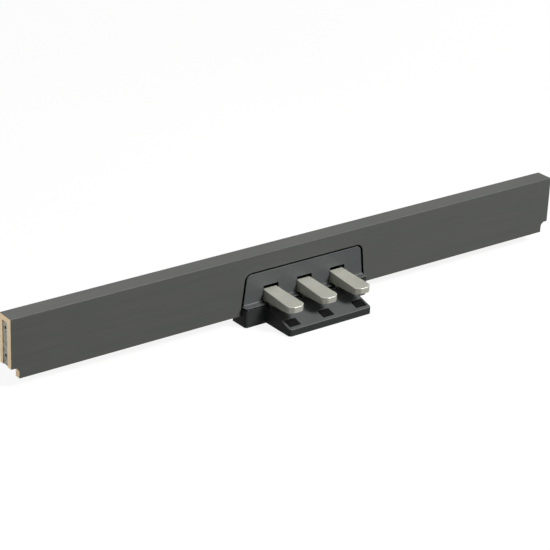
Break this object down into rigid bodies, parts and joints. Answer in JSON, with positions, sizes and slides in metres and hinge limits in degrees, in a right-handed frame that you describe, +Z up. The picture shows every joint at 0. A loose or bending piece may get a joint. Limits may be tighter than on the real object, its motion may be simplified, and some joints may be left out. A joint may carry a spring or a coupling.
{
  "type": "piano pedal board",
  "caption": "Laminated channel board with a pedal unit set into its middle, the low crossbar of a digital piano stand.",
  "frame": {"origin": "on the floor, at the centre of the footprint, midway along the board", "axes": "+X runs along the board to its right end, -Y points to the player and the pedal tips, +Z is up"},
  "size_m": [1.2, 0.146, 0.131],
  "materials": {
    "fibreboard": "raw sawn fibreboard",
    "grey_laminate": "satin printed foil",
    "zinc_steel": "zinc plated",
    "bright_steel": "polished",
    "black_screw": "black oxide",
    "grey_cover": "fine moulded texture",
    "dark_housing": "fine moulded texture",
    "coated_steel": "powder coated",
    "pedal_grey": "satin metallic paint",
    "nylon": "smooth",
    "black_rubber": "matt",
    "felt": "pressed wool",
    "circuit_board": "solder mask",
    "black_chip": "moulded"
  },
  "bodies": {
    "board": {"front_board": "fibreboard", "top_board": "fibreboard", "back_board": "fibreboard", "spreader_blocks": "fibreboard", "laminate_wrap": "grey_laminate", "left_end_bracket": "zinc_steel", "right_end_bracket": "zinc_steel", "bracket_nuts": "zinc_steel", "bracket_front_screws": "black_screw", "bracket_back_screws": "black_screw", "housing_screws": "black_screw", "rear_cover_screws": "black_screw", "cover_screws": "black_screw", "base_screws": "black_screw", "front_cover": "grey_cover", "base_housing": "dark_housing", "rear_cover": "dark_housing", "bottom_plate": "coated_steel", "pivot_frame": "zinc_steel", "pivot_shaft": "bright_steel", "shaft_clips": "bright_steel", "pivot_spacers": "nylon", "rubber_feet": "black_rubber", "stop_pads": "black_rubber", "cable_grommet": "black_rubber", "rest_felts": "felt", "down_stop_felts": "felt", "board_standoffs": "nylon", "sensor_board": "circuit_board", "sensor_chips": "black_chip", "sensor_board_screws": "zinc_steel", "frame_screws": "zinc_steel", "frame_nuts": "zinc_steel", "left_spring": "bright_steel", "middle_spring": "bright_steel", "right_spring": "bright_steel"},
    "left_pedal_arm": {"left_pedal": "pedal_grey", "left_lever": "zinc_steel", "left_bush": "nylon", "left_magnet": "bright_steel", "left_pedal_screws": "zinc_steel"},
    "middle_pedal_arm": {"middle_pedal": "pedal_grey", "middle_lever": "zinc_steel", "middle_bush": "nylon", "middle_magnet": "bright_steel", "middle_pedal_screws": "zinc_steel"},
    "right_pedal_arm": {"right_pedal": "pedal_grey", "right_lever": "zinc_steel", "right_bush": "nylon", "right_magnet": "bright_steel", "right_pedal_screws": "zinc_steel"}
  },
  "joints": [
    {"name": "left_pedal_hinge", "type": "hinge", "parent": "board", "child": "left_pedal_arm", "pos_m": [-0.0745, 0.054, 0.051], "axis": [1, 0, 0], "range_deg": [0, 8.5], "stiffness_Nm_per_rad": 6, "springref_deg": -14.32, "deforming": ["left_spring"]},
    {"name": "middle_pedal_hinge", "type": "hinge", "parent": "board", "child": "middle_pedal_arm", "pos_m": [0, 0.054, 0.051], "axis": [1, 0, 0], "range_deg": [0, 8.5], "stiffness_Nm_per_rad": 6, "springref_deg": -14.32, "deforming": ["middle_spring"]},
    {"name": "right_pedal_hinge", "type": "hinge", "parent": "board", "child": "right_pedal_arm", "pos_m": [0.0745, 0.054, 0.051], "axis": [1, 0, 0], "range_deg": [0, 8.5], "stiffness_Nm_per_rad": 6, "springref_deg": -14.32, "deforming": ["right_spring"]}
  ]
}
